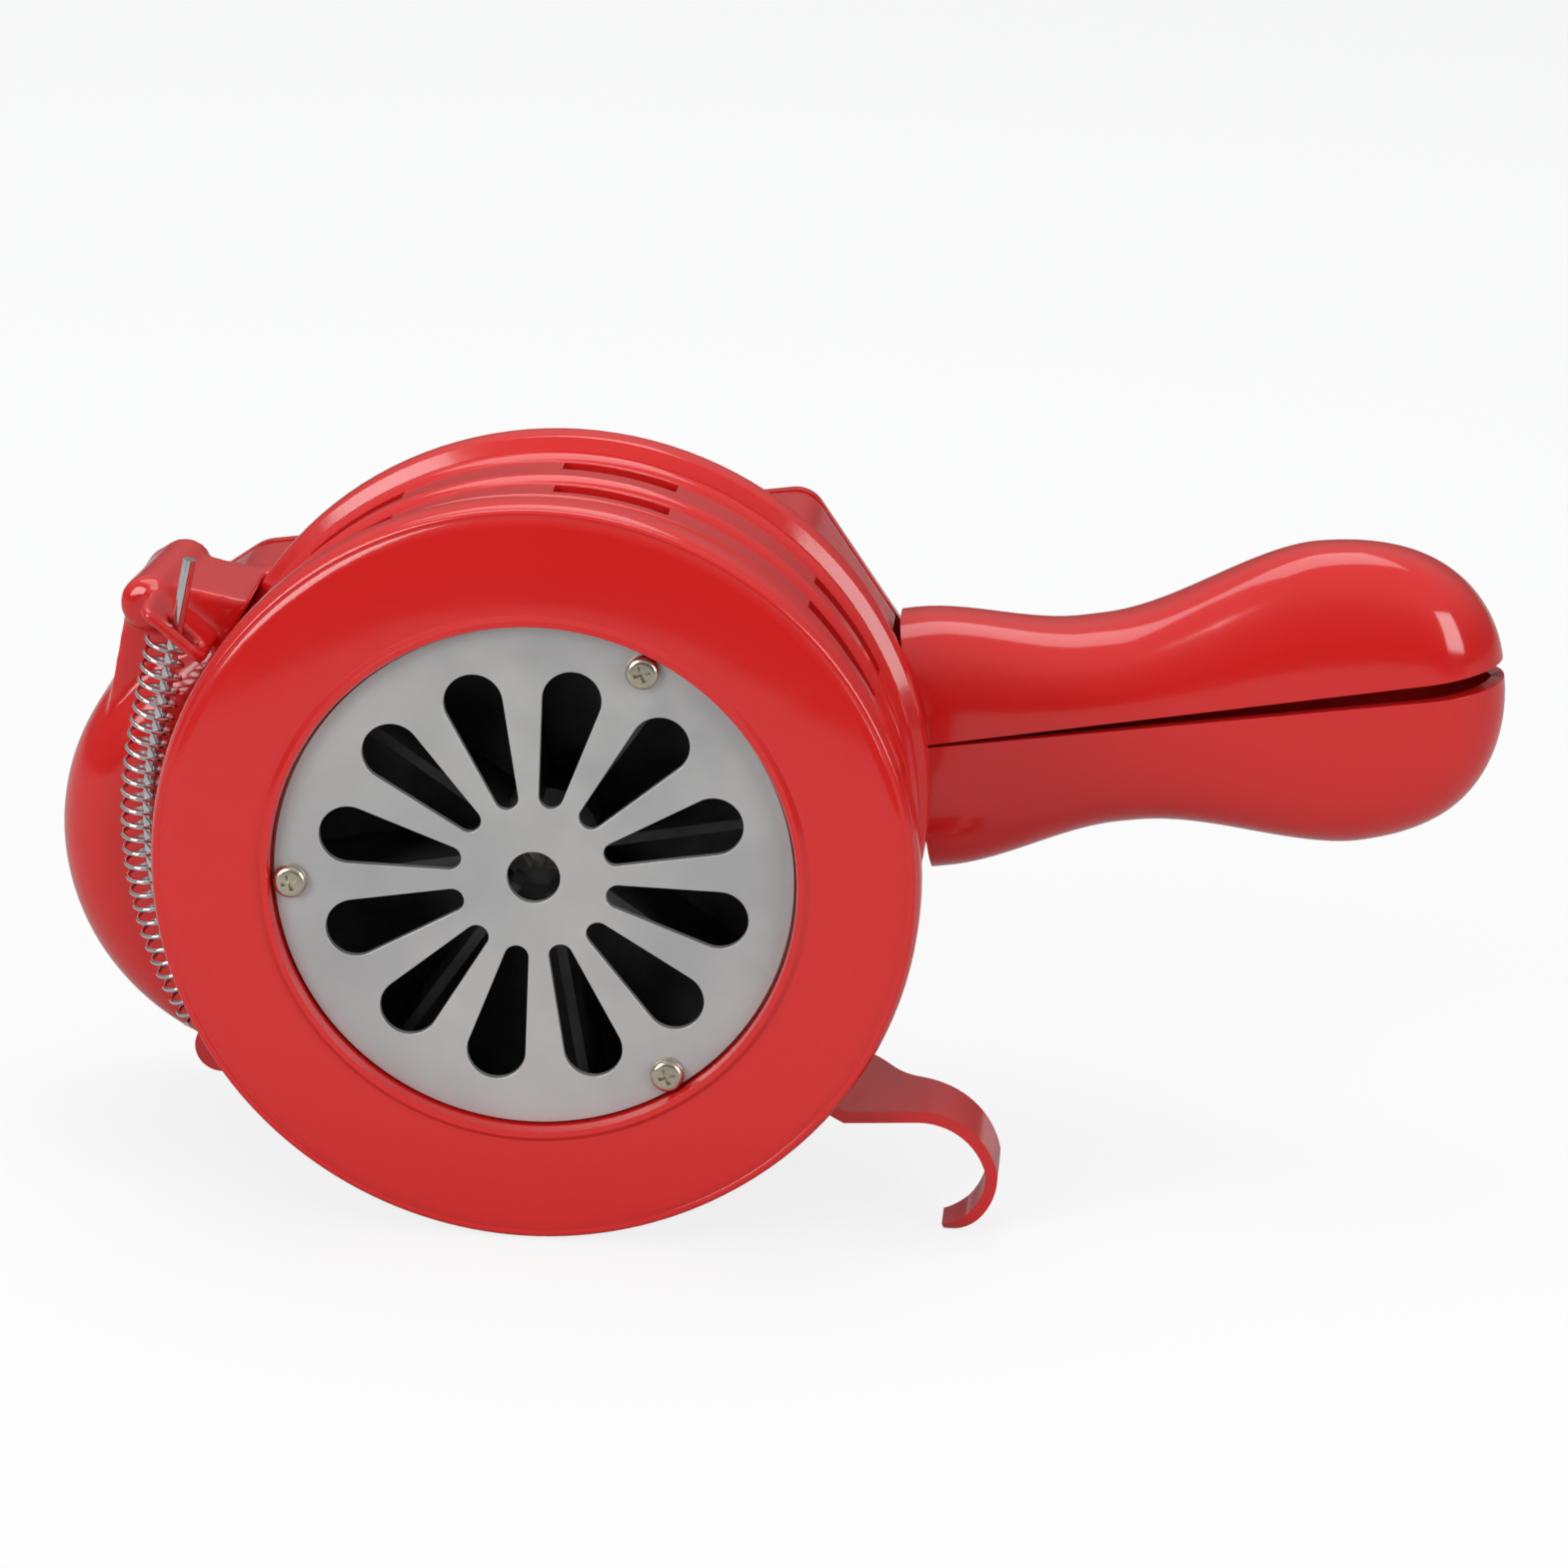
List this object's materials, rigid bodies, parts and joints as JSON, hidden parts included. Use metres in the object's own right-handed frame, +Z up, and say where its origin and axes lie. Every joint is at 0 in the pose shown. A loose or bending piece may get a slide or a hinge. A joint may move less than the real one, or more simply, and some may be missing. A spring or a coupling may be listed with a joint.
{
  "type": "hand crank siren",
  "caption": "Hand crank siren with a slotted drum, petal grille, rear gear case, waisted split handle, folding crank grip and sprung shutter hook.",
  "frame": {"origin": "middle of the bounding box's bottom, on the floor that the drum's flange, the hook's tip and the gear case's foot stand on", "axes": "+X from the drum towards the tip of the handle, +Y from the grille towards the gear case's cover, +Z up; the drum's axis lies along Y"},
  "size_m": [0.257, 0.1002, 0.133],
  "materials": {
    "red_casting": "gloss enamel",
    "red_steel": "gloss enamel",
    "grille": "satin",
    "rotor": "matt",
    "steel": "turned",
    "zinc": "zinc plated",
    "bronze": "turned"
  },
  "bodies": {
    "housing": {"drum_casting": "red_casting", "grille_plate": "grille", "grille_screws": "zinc", "front_bearing": "steel", "rear_bearing": "steel", "gear_case": "red_casting", "gear_cover": "red_casting", "cover_screws": "zinc", "case_screws": "zinc", "crank_bush": "bronze", "idler_pin": "steel", "fixed_handle": "red_casting", "handle_screws": "zinc", "band_screws": "zinc", "return_spring": "zinc"},
    "rotor_group": {"rotor": "rotor", "rotor_shaft": "steel", "rotor_nut": "zinc", "shaft_spacer": "steel", "rotor_pinion": "steel"},
    "idler": {"idler_gear": "steel", "idler_pinion": "steel"},
    "crank": {"crank_gear": "steel", "crank_shaft": "steel", "crank_collar": "steel", "crank_arm": "red_steel", "crank_washer": "zinc", "crank_nut": "zinc", "hinge_pin": "zinc"},
    "grip": {"folding_grip": "red_casting"},
    "shutter": {"shutter_band": "red_steel", "guide_rod": "zinc"}
  },
  "joints": [
    {"name": "rotor_spin", "type": "hinge", "parent": "housing", "child": "rotor_group", "pos_m": [-0.03888, -0.00195, 0.0665], "axis": [0, 1, 0], "continuous": true},
    {"name": "idler_spin", "type": "hinge", "parent": "housing", "child": "idler", "pos_m": [-0.04477, 0.01805, 0.0381], "axis": [0, 1, 0], "continuous": true},
    {"name": "crank_turn", "type": "hinge", "parent": "housing", "child": "crank", "pos_m": [-0.08538, 0.02805, 0.0575], "axis": [0, 1, 0], "continuous": true},
    {"name": "grip_fold", "type": "hinge", "parent": "crank", "child": "grip", "pos_m": [0.02976, 0.04105, 0.06551], "axis": [-0.1547, 0, 0.988], "range_deg": [0, 90]},
    {"name": "shutter_pull", "type": "hinge", "parent": "housing", "child": "shutter", "pos_m": [-0.03888, -0.02395, 0.0665], "axis": [0, 1, 0], "range_deg": [0, 19.2], "stiffness_Nm_per_rad": 0.75, "springref_deg": -12.03, "deforming": ["return_spring"]}
  ],
  "couplings": [
    {"joint": "idler_spin", "follows": "rotor_spin", "ratio": -0.20833},
    {"joint": "crank_turn", "follows": "rotor_spin", "ratio": 0.041667}
  ]
}
